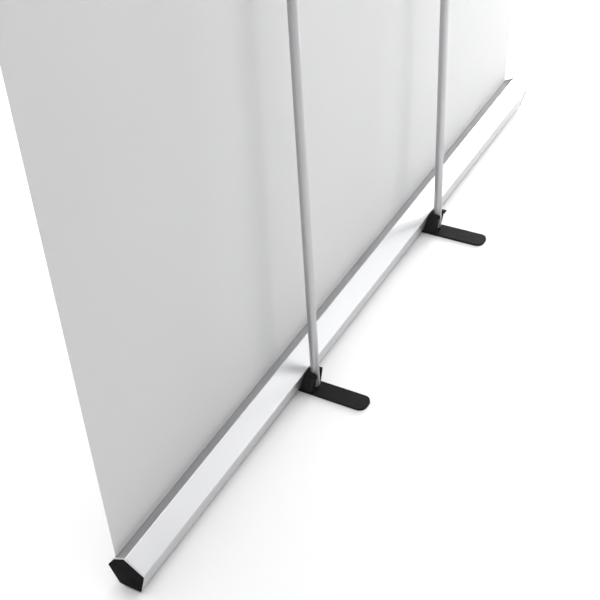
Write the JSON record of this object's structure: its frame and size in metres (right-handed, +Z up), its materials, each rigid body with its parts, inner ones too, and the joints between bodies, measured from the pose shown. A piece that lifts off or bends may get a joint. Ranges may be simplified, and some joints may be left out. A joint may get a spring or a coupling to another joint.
{
  "type": "roll-up banner stand",
  "caption": "Wide roll-up banner stand: sprung roller case on feet that reach back, telescopic rear poles, and a clamping top rail that draws the blank sheet up.",
  "frame": {"origin": "on the floor, under the middle of the whole stand's box; the roller's axis is 78 mm in front of it", "axes": "+Z up; X along the case and the top rail; -Y is the printed front of the sheet, +Y the back, where the feet reach out and the poles stand"},
  "size_m": [1.508, 0.2242, 2.0928],
  "materials": {
    "satin_aluminium": "satin anodised",
    "black_plastic": "fine moulded texture",
    "grey_plastic": "moulded",
    "zinc_steel": "zinc plated",
    "black_rubber": "matt",
    "banner_film": "blank matt polyester film",
    "leader_film": "translucent film"
  },
  "bodies": {
    "cassette": {"case_extrusion": "satin_aluminium", "end_cap_left": "black_plastic", "end_cap_right": "black_plastic", "end_cap_screw_left_1": "zinc_steel", "end_cap_screw_right_1": "zinc_steel", "end_cap_screw_left_2": "zinc_steel", "end_cap_screw_right_2": "zinc_steel", "foot_left": "black_plastic", "foot_right": "black_plastic", "foot_screw_left": "zinc_steel", "foot_screw_right": "zinc_steel", "foot_nut_plate_left": "zinc_steel", "foot_nut_plate_right": "zinc_steel", "foot_pad_left_front": "black_rubber", "foot_pad_right_front": "black_rubber", "foot_pad_left_rear": "black_rubber", "foot_pad_right_rear": "black_rubber", "pole_lower_left": "satin_aluminium", "pole_lower_right": "satin_aluminium", "pole_foot_plug_left": "black_plastic", "pole_foot_plug_right": "black_plastic", "lock_sleeve_left": "black_plastic", "lock_sleeve_right": "black_plastic", "idle_axle": "zinc_steel", "spring_axle": "zinc_steel", "spring_anchor": "grey_plastic", "torsion_spring": "zinc_steel", "leader_run": "leader_film", "banner_sheet": "banner_film"},
    "roller": {"roller_tube": "satin_aluminium", "leader_wraps": "leader_film", "roller_plug_spring_end": "grey_plastic", "roller_plug_idle_end": "grey_plastic", "axle_bush": "grey_plastic"},
    "top_rail": {"top_rail": "satin_aluminium", "top_rail_cap_left": "black_plastic", "top_rail_cap_right": "black_plastic"},
    "rail_clamp": {"top_rail_clamp": "satin_aluminium"},
    "pole_upper_left": {"pole_upper_left": "satin_aluminium", "pole_glide_left": "grey_plastic", "pole_hook_left": "black_plastic"},
    "pole_upper_right": {"pole_upper_right": "satin_aluminium", "pole_glide_right": "grey_plastic", "pole_hook_right": "black_plastic"},
    "lock_nut_left": {"lock_nut_left": "black_plastic"},
    "lock_nut_right": {"lock_nut_right": "black_plastic"}
  },
  "joints": [
    {"name": "banner_travel", "type": "slide", "parent": "cassette", "child": "top_rail", "axis": [0, 0.0873, 0.9962], "range_m": [-1.994, 0], "deforming": ["banner_sheet"]},
    {"name": "roller_turn", "type": "hinge", "parent": "cassette", "child": "roller", "pos_m": [0, -0.078, 0.0388], "axis": [1, 0, 0], "range_deg": [0, 5490]},
    {"name": "clamp_open", "type": "hinge", "parent": "top_rail", "child": "rail_clamp", "pos_m": [0, 0.07873, 2.08711], "axis": [-1, 0, 0], "range_deg": [0, 70]},
    {"name": "pole_telescope_left", "type": "slide", "parent": "cassette", "child": "pole_upper_left", "axis": [0, 0.0663, 0.9978], "range_m": [-0.84, 0]},
    {"name": "pole_telescope_right", "type": "slide", "parent": "cassette", "child": "pole_upper_right", "axis": [0, 0.0663, 0.9978], "range_m": [-0.84, 0]},
    {"name": "lock_turn_left", "type": "hinge", "parent": "cassette", "child": "lock_nut_left", "pos_m": [-0.253, 0.0339, 1.02225], "axis": [0, 0.0663, 0.9978], "range_deg": [0, 90]},
    {"name": "lock_turn_right", "type": "hinge", "parent": "cassette", "child": "lock_nut_right", "pos_m": [0.253, 0.0339, 1.02225], "axis": [0, 0.0663, 0.9978], "range_deg": [0, 90]}
  ],
  "couplings": [
    {"joint": "roller_turn", "follows": "banner_travel", "rad_per_m": -48}
  ]
}
